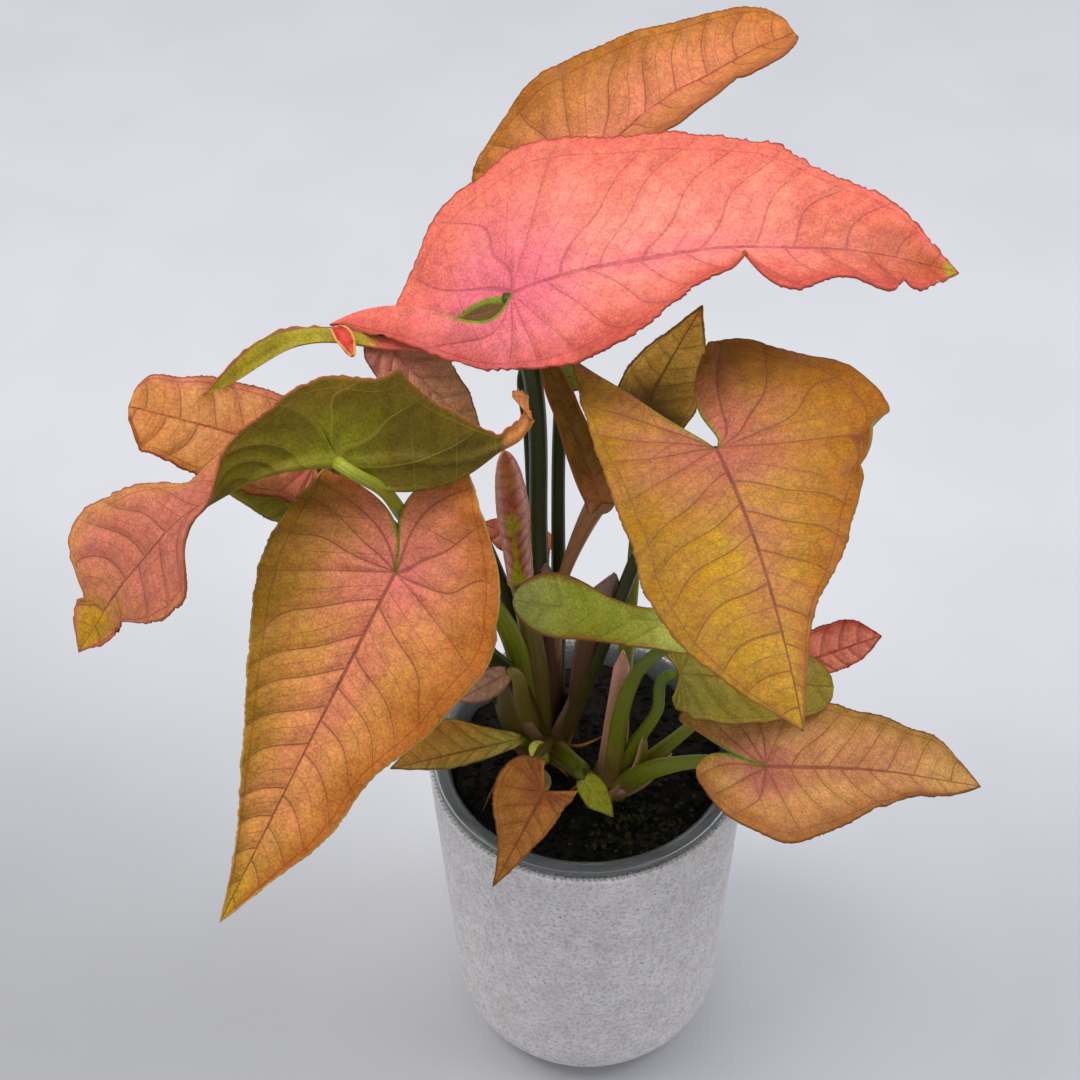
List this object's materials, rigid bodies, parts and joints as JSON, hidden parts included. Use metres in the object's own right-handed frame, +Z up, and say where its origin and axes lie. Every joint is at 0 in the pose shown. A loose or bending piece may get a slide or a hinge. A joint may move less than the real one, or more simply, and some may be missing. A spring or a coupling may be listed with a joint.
{
  "type": "potted arrowhead plant",
  "caption": "Arrowhead plant with pink and copper arrow-shaped leaves on upright petioles, in a clear nursery pot inside a round concrete cover pot.",
  "frame": {"origin": "middle of the cover pot's flat base, on the surface it stands on", "axes": "+Z up, -Y to the front that the picture shows, +X to the right"},
  "size_m": [0.1785, 0.1371, 0.2453],
  "materials": {
    "concrete": "rough cast concrete, pale grey with dark and rusty specks",
    "clear_plastic": "clear, thin and glossy",
    "soil": "moist dark peat",
    "petiole": "satin green stalk",
    "leaf_pink": "satin leaf, salmon pink with purple veins",
    "leaf_copper": "satin leaf, copper with purple veins",
    "leaf_gold": "satin leaf, golden tan with purple veins",
    "leaf_tan": "satin leaf, pinkish tan",
    "leaf_olive": "satin leaf, olive brown",
    "leaf_green": "satin leaf, pale green underside"
  },
  "bodies": {
    "root": {"cover_pot": "concrete", "nursery_pot": "clear_plastic", "soil": "soil", "shoot_left": "petiole", "shoot_right": "petiole", "leaf_top_back": "leaf_copper", "leaf_big_pink": "leaf_pink", "leaf_twisted_left": "leaf_olive", "leaf_copper_left": "leaf_gold", "leaf_pale_left": "leaf_green", "leaf_behind_left": "leaf_tan", "leaf_front_left": "leaf_copper", "leaf_right": "leaf_gold", "leaf_olive_behind": "leaf_olive", "leaf_rolled": "leaf_olive", "leaf_low_right": "leaf_tan", "leaf_pink_right": "leaf_pink", "leaf_green_under": "leaf_green", "leaf_olive_right": "leaf_olive", "leaf_small_front": "leaf_copper", "leaf_small_green": "leaf_green", "leaf_low_left": "leaf_copper", "leaf_small_tan": "leaf_tan", "leaf_new_centre": "leaf_pink", "leaf_small_orange": "leaf_pink", "leaf_under_pink": "leaf_olive"}
  },
  "joints": []
}
